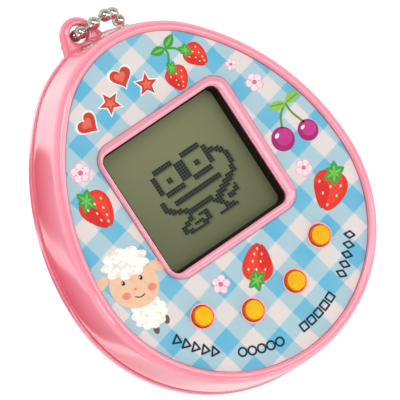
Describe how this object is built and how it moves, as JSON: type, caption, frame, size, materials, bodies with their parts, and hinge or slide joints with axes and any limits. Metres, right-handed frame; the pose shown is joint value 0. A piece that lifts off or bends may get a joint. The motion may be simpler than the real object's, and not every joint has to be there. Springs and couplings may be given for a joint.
{
  "type": "virtual pet keychain",
  "caption": "Egg-shaped handheld electronic pet with a square screen, four push buttons, a battery door, and a bead chain through a lug.",
  "frame": {"origin": "centre of the footprint of the object without its chain, at the flat of the back shell, with the object lying face up", "axes": "+Z out of the face, +Y towards the lug at the narrow end of the egg, +X to the right seen from the front"},
  "size_m": [0.051, 0.0644, 0.0173],
  "materials": {
    "pink_plastic": "glossy injection-moulded pink",
    "printed_label": "printed film, satin",
    "black_plastic": "matt black",
    "lcd_film": "green-grey polariser film",
    "lcd_glass": "clear",
    "foil": "satin",
    "white_plastic": "matt white",
    "silicone": "soft matt",
    "board": "green solder mask",
    "epoxy": "potted black",
    "bright_metal": "bright nickel plate",
    "steel": "zinc plated",
    "yellow_plastic": "glossy yellow, orange sides",
    "brass": "satin",
    "ceramic": "chip components"
  },
  "bodies": {
    "casing": {"front_shell": "pink_plastic", "back_shell": "pink_plastic", "face_label": "printed_label", "screen_liner": "black_plastic", "lcd_polariser": "lcd_film", "lcd_glass": "lcd_glass", "lcd_reflector": "foil", "lcd_holder": "white_plastic", "contact_strip": "silicone", "circuit_board": "board", "chip_blob": "epoxy", "quartz_crystal": "steel", "board_chips": "ceramic", "case_screws": "steel", "board_screws": "steel", "key_dome_select": "silicone", "key_dome_back": "silicone", "key_dome_confirm": "silicone", "key_dome_reset": "silicone", "button_cell": "bright_metal", "positive_contact": "steel", "negative_leaf": "steel", "sounder_ring": "black_plastic", "sounder_disc": "brass", "sounder_pins": "steel", "bead_chain": "bright_metal", "chain_connector": "bright_metal"},
    "select_key": {"button_select": "yellow_plastic"},
    "back_key": {"button_back": "yellow_plastic"},
    "confirm_key": {"button_confirm": "yellow_plastic"},
    "reset_key": {"button_reset": "yellow_plastic"},
    "door": {"battery_door": "pink_plastic", "door_screw": "steel"}
  },
  "joints": [
    {"name": "select_press", "type": "slide", "parent": "casing", "child": "select_key", "axis": [0, 0, -1], "range_m": [0, 0.0006], "stiffness_N_per_m": 600, "springref_m": -0.0003, "deforming": ["key_dome_select"]},
    {"name": "back_press", "type": "slide", "parent": "casing", "child": "back_key", "axis": [0, 0, -1], "range_m": [0, 0.0006], "stiffness_N_per_m": 600, "springref_m": -0.0003, "deforming": ["key_dome_back"]},
    {"name": "confirm_press", "type": "slide", "parent": "casing", "child": "confirm_key", "axis": [0, 0, -1], "range_m": [0, 0.0006], "stiffness_N_per_m": 600, "springref_m": -0.0003, "deforming": ["key_dome_confirm"]},
    {"name": "reset_press", "type": "slide", "parent": "casing", "child": "reset_key", "axis": [0, 0, -1], "range_m": [0, 0.0006], "stiffness_N_per_m": 600, "springref_m": -0.0003, "deforming": ["key_dome_reset"]},
    {"name": "door_lift_off", "type": "slide", "parent": "casing", "child": "door", "axis": [0, 0, -1], "range_m": [0, 0.012]}
  ]
}
